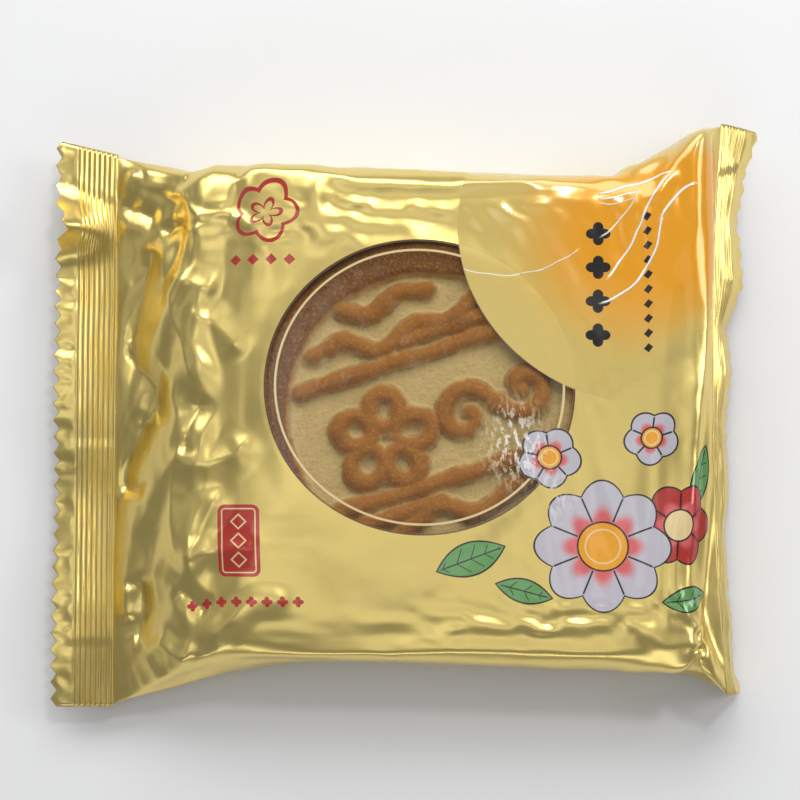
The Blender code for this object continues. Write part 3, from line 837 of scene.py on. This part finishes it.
def film_sheets(sizes):
    """The finished film, laid flat: fine cells at the creased end, and the window's faces with material 1."""
    half_width, half_length = sizes.film_half_width, sizes.film_half_length
    rest = 2 * half_length - CREASED_END
    columns = np.concatenate([
        np.arange(0, CREASED_END, FINE_CELL), np.linspace(CREASED_END, 2 * half_length, round(rest / COARSE_CELL)),
    ]) - half_length
    bm = bmesh.new()
    flat = bm.verts.layers.float_vector.new("flat")
    uv = bm.loops.layers.uv.new("film")
    centre, radius = Vector(FLAT_WINDOW) * MM, (FLAT_WINDOW_RADIUS + WINDOW_BORDER) * MM
    for side, cell in ((1, TOP_CELL), (-1, BACK_CELL)):
        grid = bmesh.ops.create_grid(
            bm, x_segments=len(columns) - 1, y_segments=round(2 * half_width / cell), size=0.5
        )["verts"]
        for vert in grid:
            column = round((vert.co.x + 0.5) * (len(columns) - 1))
            place = Vector((columns[column], vert.co.y * 2 * half_width))
            out = place - centre
            if side > 0 and abs(out.length - radius) < TOP_CELL / 2:
                place = centre + out.normalized() * radius
            vert[flat] = (*place, side)
    for face in bm.faces:
        is_top = all(vert[flat].z > 0 for vert in face.verts)
        middle = sum((vert[flat].xy for vert in face.verts), Vector((0, 0))) / len(face.verts)
        if is_top and (middle - centre).length < radius:
            face.material_index = 1
        for loop in face.loops:
            place = loop.vert[flat].xy / (PRINT_SPAN * MM)
            loop[uv].uv = place + Vector((0.5, 0.5 if is_top else 0.5 + BACK_OFFSET))
        if not is_top:
            face.normal_flip()
    return mesh_of(bm, "film")


# ---- the film blown up round the cake


def collider(name, bm, friction):
    """A thing that the film can't pass, at the simulation's scale."""
    bmesh.ops.scale(bm, vec=(SIM_SCALE,) * 3, verts=bm.verts)
    made = link(name, mesh_of(bm, name))
    made.modifiers.new("collision", "COLLISION")
    made.collision.thickness_outer = BLOCK_SKIN * SIM_SCALE
    made.collision.cloth_friction = friction
    return made


def block(low, high, rounding):
    """A rounded block between two corners, turned as the body of the pack is."""
    bm = bmesh.new()
    bmesh.ops.create_cube(bm, size=1)
    bmesh.ops.scale(bm, vec=high - low, verts=bm.verts)
    bmesh.ops.translate(bm, vec=(low + high) / 2, verts=bm.verts)
    bmesh.ops.bevel(
        bm, geom=bm.edges[:], offset=rounding, segments=4, affect="EDGES", profile=0.5, material=-1
    )
    bmesh.ops.triangulate(bm, faces=bm.faces)
    bmesh.ops.rotate(bm, cent=BLOCK_PIVOT, matrix=Matrix.Rotation(BLOCK_TURN, 3, "Z"), verts=bm.verts)
    return bm


def colliders():
    """The cake, the blocks of air round it, a lid that keeps the top level, and the table."""
    cake = bmesh.new()
    bottom, top = 0.7 * MM, FILM_TOP - 0.9 * MM
    bmesh.ops.create_cone(
        cake, cap_ends=True, segments=64, radius1=CAKE_RADIUS, radius2=CAKE_RADIUS, depth=top - bottom,
        matrix=Matrix.Translation((CAKE_MIDDLE.x, CAKE_MIDDLE.y, (top + bottom) / 2)),
    )
    rims = [edge for edge in cake.edges if edge.calc_face_angle(0) > 1]
    bmesh.ops.bevel(cake, geom=rims, offset=2 * MM, segments=3, affect="EDGES", profile=0.5, material=-1)
    made = [collider("cake block", cake, CAKE_BLOCK_FRICTION)]
    for name, left, right, bottom, top, front, back, rounding, friction in BLOCKS:
        low = Vector((left, BODY_SHIFT + front * MM, bottom))
        high = Vector((right, BODY_SHIFT + back * MM, top))
        made.append(collider(name, block(low, high, rounding * MM), friction))
    table = bmesh.new()
    bmesh.ops.create_grid(table, x_segments=1, y_segments=1, size=150 * MM)
    return [*made, collider("table", table, TABLE_FRICTION)]


def blow_up(mesh, sizes):
    """Runs the cloth simulation on the film's mesh and gives back the film's points at its end."""
    flat = read_layer(mesh, "flat")
    set_points(mesh, mesh_points(mesh) * SIM_SCALE)
    film = link("film in the air", mesh)
    film.shape_key_add(name="Basis")
    rest = film.shape_key_add(name="flat film")
    rest.data.foreach_set("co", (flat * (SIM_SCALE, SIM_SCALE, 0)).astype(np.float32).ravel())
    rest.value = 0.0
    held = film.vertex_groups.new(name="held by the seals")
    ends = np.abs(flat[:, 0]) > sizes.film_half_length - 0.1 * MM
    held.add([int(index) for index in np.flatnonzero(ends)], 1.0, "REPLACE")
    helpers = colliders()
    modifier = film.modifiers.new("air", "CLOTH")
    for settings, values in ((modifier.settings, CLOTH), (modifier.collision_settings, CLOTH_TOUCH)):
        for name, value in values.items():
            setattr(settings, name, value)
    modifier.settings.uniform_pressure_force = sizes.air_pressure
    modifier.settings.vertex_group_mass = held.name
    modifier.settings.rest_shape_key = rest
    modifier.point_cache.frame_end = SIM_FRAMES
    scene = bpy.context.scene
    scene.frame_start, scene.frame_end = 1, SIM_FRAMES
    for step in range(1, SIM_FRAMES + 1):
        scene.frame_set(step)
    shown = film.evaluated_get(bpy.context.evaluated_depsgraph_get())
    points = mesh_points(shown.data)
    for helper in [film, *helpers]:
        bpy.data.objects.remove(helper)
    scene.frame_set(1)
    return points / SIM_SCALE


def film_surface(sizes):
    """The film's surface once it is blown up."""
    mesh = flat_film(sizes)
    flat = read_layer(mesh, "flat")
    points = blow_up(mesh, sizes)
    return FilmSurface(flat, points, sizes)


def soft_waves(points):
    """Low swells in the level top of the film, calm over the window."""
    level = points * (1, 1, 0)
    swell = field_noise(level, SWELL_SIZES[0], 3.7) * 0.60 + field_noise(level, SWELL_SIZES[1], 9.1) * 0.12
    away = np.hypot(points[:, 0] - WINDOW_MIDDLE.x, points[:, 1] - WINDOW_MIDDLE.y)
    calm = CALM + (1 - CALM) * ease((away - WINDOW_RADIUS + 4 * MM) / (8 * MM))
    return (swell - 0.5) * MM * calm


def crumples(points):
    """Sharp random crinkles, strongest beside the left seal."""
    level = points * (1, 0.6, 0)
    ridges = 1 - 3 * np.abs(field_noise(level, CRUMPLE_SIZES[0], 12.3))
    fine = 1 - 3 * np.abs(field_noise(level, CRUMPLE_SIZES[1], 2.9))
    left = ease((LEFT_ROOT + 27 * MM - points[:, 0]) / (15 * MM))
    right = ease((points[:, 0] - RIGHT_ROOT + 12 * MM) / (6 * MM))
    return MM * (CRUMPLE_LEFT * left + CRUMPLE_RIGHT * right) * (ridges + 0.15 * fine - 0.5)


def creased(points, flat, half_width):
    """The top film with its creases, its swells and its sag beyond the cake."""
    seal = mix(LEFT_SEAL_HEIGHT, RIGHT_SEAL_HEIGHT, (points[:, 0] - LEFT_ROOT) / ROOT_SPAN)
    near_edge = np.minimum(points[:, 0] - LEFT_ROOT, RIGHT_ROOT - points[:, 0])
    free = ease(near_edge / (3 * MM)) * ease((points[:, 2] - seal + 3 * MM) / (4 * MM)) * (flat[:, 2] > 0)
    free *= ease((half_width - np.abs(flat[:, 1])) / (4 * MM))
    high = ease((points[:, 2] - FILM_TOP + 3 * MM) / (2.5 * MM))
    sag = LEFT_SAG * ease((CAKE_LOW.x - 1 * MM - points[:, 0]) / (9 * MM))
    height = crease_height(*points[:, :2].T) + crumples(points) + (soft_waves(points) - sag) * high
    points[:, 2] += free * height
    over = np.maximum(points[:, 2] - (FILM_TOP - TOP_SOFTNESS), 0)
    points[:, 2] -= over - TOP_SOFTNESS * (1 - np.exp(-over / TOP_SOFTNESS))
    return points


# ---- the seals


def seal_noise(out, v, stretch, size, seed, level=0.0):
    return field_noise(np.stack([out * stretch, v, np.full_like(v, level)], -1), size, seed)


def crimp(out, v):
    """Height of the crimps, out from the root of the seal: fine wavy lines of uneven strength."""
    share = ease(out / (0.5 * MM)) * ease((CRIMP_BAND - out) / (0.5 * MM))
    wander = seal_noise(out, v, 0.2, 11 * MM, 4.4)
    strength = 0.8 + 0.5 * seal_noise(out, v, 5, 5 * MM, 7.7)
    return CRIMP_DEPTH * share * strength * np.sin(out / CRIMP_PITCH * math.tau + wander)


def crinkle(out, v):
    """Small pulls in the loose margin beyond the crimps."""
    share = ease((out - CRIMP_BAND + 1 * MM) / (2 * MM))
    facets = 1 - np.abs(seal_noise(out, v, 0.6, 2.6 * MM, 6.1)) * 3
    return CRINKLE_HEIGHT * share * facets


def layer_steps(out, v):
    """The film lies double where the back seam and a tucked corner run through the seal."""
    seam = ease((v / MM - BACK_SEAM[0]) / 0.5) * ease((BACK_SEAM[1] - v / MM) / 0.5)
    corner = ease(((v - CORNER_LEAN * out) / MM - TUCKED_CORNER) / 0.5)
    return SEAM_STEP * seam + CORNER_STEP * corner


def seal_centre(end, out, v, half_width):
    """Places on the middle of a seal's thickness, and the direction that its face points."""
    zeros = np.zeros_like(v)
    loose = out / SEAL_WIDTH
    flutter = seal_noise(out, v, 0.6, 9 * MM, 1.3, 2.0 if end == "left" else 5.0)
    lift = FLUTTER * flutter * loose ** 1.5
    if end == "left":
        start = left_root(v)
        most, place, spread = LEFT_KINK
        kink = most * np.exp(-((v / MM - place) / spread) ** 2)
        kink = kink + 0.05 * np.sin(v / MM * 0.09)
        forward = np.stack([-np.cos(kink), zeros, np.sin(kink)], -1)
        normal = np.stack([np.sin(kink), zeros, np.cos(kink)], -1)
    else:
        start = right_root(v, half_width)
        tilt = np.radians(np.interp(v / MM, *zip(*BENT_SEAL_TILTS)))
        forward = np.stack([np.cos(tilt), zeros, -np.sin(tilt)], -1)
        normal = np.stack([np.sin(tilt), zeros, np.cos(tilt)], -1)
    flare = LEFT_FLARE * out * ease((v / MM - FLARE_START) / FLARE_SPREAD) if end == "left" else zeros
    start = start + np.stack([zeros, flare, zeros], -1)
    height = crimp(out, v) + crinkle(out, v) + layer_steps(out, v) * ease(out / MM) + lift
    return start + forward * out[:, None] + normal * height[:, None], normal


def add_seal(bm, end, sizes):
    """Adds one crimped seal with a toothed edge to the wrapper's mesh, as a thin closed strip."""
    half_width = sizes.film_half_width
    strip = bmesh.new()
    bmesh.ops.create_grid(strip, x_segments=SEAL_COLUMNS, y_segments=TEETH * ROWS_PER_TOOTH, size=0.5)
    uv = strip.loops.layers.uv.new("film")
    raised = bmesh.ops.extrude_face_region(strip, geom=strip.faces[:], use_keep_orig=True)["geom"]
    for item in raised:
        if isinstance(item, bmesh.types.BMVert):
            item.co.z = 1
    flat = np.array([vert.co[:] for vert in strip.verts])
    v = flat[:, 1] * 2 * half_width
    out = (flat[:, 0] + 0.5) * (SEAL_WIDTH - TOOTH_DEPTH)
    tooth = 1 - np.abs((flat[:, 1] + 0.5) * TEETH % 1 * 2 - 1)
    out = out + tooth * TOOTH_DEPTH * ease((out - SEAL_WIDTH + 3.5 * MM) / (2.2 * MM))
    points, normal = seal_centre(end, out, v, half_width)
    points = points + normal * (np.where(flat[:, 2] > 0.5, 0.5, -0.5) * SEAL_THICKNESS)[:, None]
    for face in strip.faces:
        for loop in face.loops:
            index = loop.vert.index
            loop[uv].uv = (BACK_OFFSET + out[index] / (PRINT_SPAN * MM), v[index] / (PRINT_SPAN * MM))
    for vert, place in zip(strip.verts, points):
        vert.co = place
    bmesh.ops.recalc_face_normals(strip, faces=strip.faces)
    mesh = mesh_of(strip, "seal")
    bm.from_mesh(mesh)
    bpy.data.meshes.remove(mesh)


def part_of(mesh, name, index, sizes, seals=()):
    """The faces of one material, as a new object, with seals added."""
    bm = bmesh.new()
    bm.from_mesh(mesh)
    bmesh.ops.delete(bm, geom=[face for face in bm.faces if face.material_index != index], context="FACES")
    bmesh.ops.remove_doubles(bm, verts=bm.verts, dist=0.001 * MM)
    for end in seals:
        add_seal(bm, end, sizes)
    for face in bm.faces:
        face.material_index = 0
        face.smooth = True
    return link(name, mesh_of(bm, name))


class MooncakeFilm(bpy.types.Operator):
    """Blow up the film round the cake, and add the gold wrapper and its clear window"""

    bl_idname = "mooncake.film"
    bl_label = "Gold wrapper and clear window"

    def execute(self, context):
        sizes, colours = context.scene.mooncake_sizes, context.scene.mooncake_colours
        mesh = film_sheets(sizes)
        flat = read_layer(mesh, "flat")
        points = creased(film_surface(sizes).at(flat), flat, sizes.film_half_width)
        points[:, 2] = np.clip(points[:, 2], 0.1 * MM, FILM_TOP)
        set_points(mesh, points)
        wrapper = part_of(mesh, "gold_wrapper_film", 0, sizes, ("left", "right"))
        wrapper.data.materials.append(gold_film(colours))
        window = part_of(mesh, "clear_window_film", 1, sizes)
        window.data.materials.append(clear_film(colours))
        bpy.data.meshes.remove(mesh)
        for piece, node, slot in (
            (wrapper, "gold_wrapper", "gold_foil"), (window, "clear_window", "clear_film")
        ):
            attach(piece, "root")
            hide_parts(node)
        return {"FINISHED"}


# ---- the cake


def softened(points):
    """A line of corner points with its corners cut."""
    line = [Vector(point) for point in points]
    cut = [line[0]]
    for start, end in zip(line, line[1:]):
        cut += [start.lerp(end, 0.15), start.lerp(end, 0.85)]
    return [*cut, line[-1]]


def petal(index):
    """The loop of one petal, from the flower's heart out and back."""
    angle = FLOWER_TURN + index * math.tau / PETALS
    out = Vector((math.cos(angle), math.sin(angle)))
    across = Vector((-out.y, out.x))
    loop = []
    for step in range(PETAL_STEPS + 1):
        turn = math.tau * step / PETAL_STEPS
        along = FLOWER_HEART + (PETAL_REACH - FLOWER_HEART) * (0.5 - 0.5 * math.cos(turn))
        loop.append(Vector(FLOWER_CENTRE) + out * along + across * PETAL_HALF_WIDTH * math.sin(turn))
    return loop


def scroll(middle, radius, start):
    """A spiral that winds inwards."""
    line = []
    for step in range(SCROLL_STEPS + 1):
        share = step / SCROLL_STEPS
        angle = start + SCROLL_TURNS * math.tau * share
        out = radius * mix(1, SCROLL_EYE, share)
        line.append(Vector((middle[0] + out * math.cos(angle), middle[1] + out * math.sin(angle))))
    return line


def crest_lines():
    lines = [softened(points) for points in (*WAVES, *BARS)]
    lines += [petal(index) for index in range(PETALS)]
    return lines + [scroll(*values) for values in SCROLLS]


def distance_to(line, x, y):
    """How far each place is from a line of points."""
    nearest = np.full_like(x, 1e3)
    for start, end in zip(line, line[1:]):
        run = end - start
        share = np.clip(((x - start.x) * run.x + (y - start.y) * run.y) / max(run.length_squared, 1e-9), 0, 1)
        nearest = np.minimum(nearest, np.hypot(x - start.x - run.x * share, y - start.y - run.y * share))
    return nearest


def cake_relief(x, y):
    """Height above the field, in mm, and the share of rim, at places in mm from the cake's middle."""
    reach = np.hypot(x, y)
    places = np.stack([x, y, np.zeros_like(x)], -1)
    wobble = field_noise(places, 6.0, 2.2)
    fine = field_noise(places, 1.3, 5.1)
    rim = ease((reach - FIELD_RADIUS + 1.4 + 0.4 * wobble) / 2.4)
    height = rim * FIELD_DEPTH
    for line in crest_lines():
        half = RIDGE_WIDTH / 2 * (1 + 0.22 * wobble + 0.08 * fine)
        across = np.clip(distance_to(line, x, y) / half, 0, 1)
        ridge = (1 - across ** 2.2) ** 0.9 * (FIELD_DEPTH + 0.18 + 0.30 * wobble)
        height = np.maximum(height, ridge)
    height += 0.12 * fine + 0.14 * wobble * (1 - rim)
    outer = ease((reach - 31.5) / 4.5)
    return height - 0.9 * outer ** 2, rim


class MooncakeCake(bpy.types.Operator):
    """Add the baked cake with its rim and ridges"""

    bl_idname = "mooncake.cake"
    bl_label = "Mooncake"

    def profile(self):
        """Half section from the middle of the base, out, up and in to the middle of the top."""
        low, high, radius, rounding = CAKE_LOW.z, CAKE_HIGH.z, CAKE_RADIUS, CAKE_ROUNDING
        points = [(radius * step / 5, low) for step in range(5)]
        for step in range(7):
            turn = math.pi / 2 * step / 6
            points.append((radius - rounding * (1 - math.sin(turn)), low + rounding * (1 - math.cos(turn))))
        points += [(radius, mix(low + rounding, high - rounding, step / 8)) for step in range(1, 8)]
        for step in range(7):
            turn = math.pi / 2 * step / 6
            points.append((radius - rounding * (1 - math.cos(turn)), high - rounding * (1 - math.sin(turn))))
        inner = radius - rounding
        rings = round(inner / CAKE_CELL)
        return points + [(inner * (1 - step / rings), high) for step in range(1, rings + 1)]

    def execute(self, context):
        sizes = context.scene.mooncake_sizes
        bm = bmesh.new()
        line = [bm.verts.new((radius, 0, height)) for radius, height in self.profile()]
        edges = [bm.edges.new(pair) for pair in zip(line, line[1:])]
        bmesh.ops.spin(
            bm, geom=line + edges, cent=(0, 0, 0), axis=(0, 0, 1), angle=math.tau,
            steps=sizes.cake_steps, use_merge=True,
        )
        bmesh.ops.remove_doubles(bm, verts=bm.verts, dist=0.001 * MM)
        bmesh.ops.recalc_face_normals(bm, faces=bm.faces)
        for face in bm.faces:
            face.smooth = True
        mesh = mesh_of(bm, "mooncake_baked")
        points = mesh_points(mesh)
        top = points[:, 2] > CAKE_HIGH.z - 3.2 * MM
        x, y = points[top, 0] / MM, points[top, 1] / MM
        height, rim = cake_relief(x, y)
        points[top, 2] += (height - FIELD_DEPTH) * MM * ease((points[top, 2] - CAKE_HIGH.z) / (3 * MM) + 1)
        bake, rims = np.ones(len(points)), np.ones(len(points))
        bake[top] = np.clip(height / FIELD_DEPTH, 0, 1.2)
        rims[top] = rim
        points[:, :2] += (CAKE_MIDDLE.x, CAKE_MIDDLE.y)
        set_points(mesh, points)
        for name, values in (("bake", bake), ("rim", rims)):
            layer = mesh.attributes.new(name, "FLOAT", "POINT")
            layer.data.foreach_set("value", values.astype(np.float32))
        mesh.materials.append(crust(context.scene.mooncake_colours))
        cake = link("mooncake_baked", mesh)
        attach(cake, "root")
        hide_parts("mooncake")
        return {"FINISHED"}


# ---- the stage

WORLD_LIGHT = 0.30
LIGHTS = (  # name, place, width, height and power
    ("back window", (-0.1, 0.68, 0.56), 1.2, 0.45, 6.8),
    ("right window", (0.75, 0.2, 0.5), 0.4, 0.3, 1.9),
    ("left fill", (-0.75, 0.1, 0.55), 0.25, 0.5, 0.10),
    ("front fill", (0.1, -0.6, 0.35), 0.6, 0.12, 0.5),
    ("ceiling", (0, -0.02, 1.0), 0.90, 0.32, 0.36),
    ("left ceiling", (-0.16, 0.06, 0.88), 0.26, 0.18, 0.16),
    ("front ceiling", (0.07, -0.12, 0.87), 0.35, 0.12, 0.10),
    ("small lamp", (0.22, 0.42, 0.80), 0.10, 0.10, 1.2),
)
CAMERA_AIM = CAKE_MIDDLE.xy.to_3d() + Vector((-0.0055, 0.00315, 0.012))
CAMERA_DISTANCE, CAMERA_WIDTH, CAMERA_ELEVATION = 0.42, 0.162, math.radians(86)


class MooncakeStage(bpy.types.Operator):
    """Add a pale floor, soft studio light and the camera"""

    bl_idname = "mooncake.stage"
    bl_label = "Stage"

    def soft_light(self, name, place, width, height, power):
        lamp = bpy.data.lights.new(name, "AREA")
        lamp.shape = "RECTANGLE"
        lamp.size, lamp.size_y = width, height
        lamp.energy = power
        thing = link(name, lamp)
        thing.location = place
        aim = Vector((0, 0, 0)) - thing.location
        thing.rotation_euler = aim.to_track_quat("-Z", "Y").to_euler()
        thing.visible_camera = False

    def execute(self, context):
        bm = bmesh.new()
        bmesh.ops.create_grid(bm, x_segments=1, y_segments=1, size=1.5)
        mesh = mesh_of(bm, "floor")
        tree = Tree("pale floor")
        grain = tree.speckle(tree.object_place(), 30.0)
        colour = tree.blend(grain, (0.80, 0.80, 0.805, 1), (0.83, 0.83, 0.83, 1))
        mesh.materials.append(tree.finish(
            tree.surface({"Base Color": colour, "Roughness": 0.55})
        ))
        floor = link("floor", mesh)

        world = bpy.data.worlds.new("studio")
        world.use_nodes = True
        backdrop = world.node_tree.nodes["Background"]
        backdrop.inputs["Color"].default_value = (0.80, 0.82, 0.85, 1)
        backdrop.inputs["Strength"].default_value = WORLD_LIGHT
        context.scene.world = world
        for light in LIGHTS:
            self.soft_light(*light)

        view = bpy.data.cameras.new("camera")
        camera = link("camera", view)
        view.lens = view.sensor_width * CAMERA_DISTANCE / CAMERA_WIDTH
        back = Vector((0, -math.cos(CAMERA_ELEVATION), math.sin(CAMERA_ELEVATION)))
        camera.location = CAMERA_AIM + back * CAMERA_DISTANCE
        camera.rotation_euler = (-back).to_track_quat("-Z", "Y").to_euler()
        context.scene.camera = camera
        context.scene.view_settings.view_transform = "Standard"
        return {"FINISHED"}


# ---- the add-on


class MooncakePanel(bpy.types.Panel):
    """Lists the pieces and their sizes in the sidebar"""

    bl_idname = "VIEW3D_PT_mooncake"
    bl_label = "Packed mooncake"
    bl_space_type = "VIEW_3D"
    bl_region_type = "UI"
    bl_category = "Mooncake"

    def draw(self, context):
        layout = self.layout
        for group in (context.scene.mooncake_sizes, context.scene.mooncake_colours):
            for name in group.__annotations__:
                layout.prop(group, name)
        for step in STEPS:
            layout.operator(step.bl_idname)


STEPS = (MooncakeStage, MooncakeCake, MooncakeFilm)
CLASSES = (MooncakeSizes, MooncakeColours, *STEPS, MooncakePanel)


def register():
    for item in CLASSES:
        bpy.utils.register_class(item)
    bpy.types.Scene.mooncake_sizes = PointerProperty(type=MooncakeSizes)
    bpy.types.Scene.mooncake_colours = PointerProperty(type=MooncakeColours)


def unregister():
    del bpy.types.Scene.mooncake_colours
    del bpy.types.Scene.mooncake_sizes
    for item in reversed(CLASSES):
        bpy.utils.unregister_class(item)


def main():
    register()
    bpy.ops.mooncake.stage()
    bpy.ops.mooncake.cake()
    bpy.ops.mooncake.film()


if __name__ == "__main__":
    main()
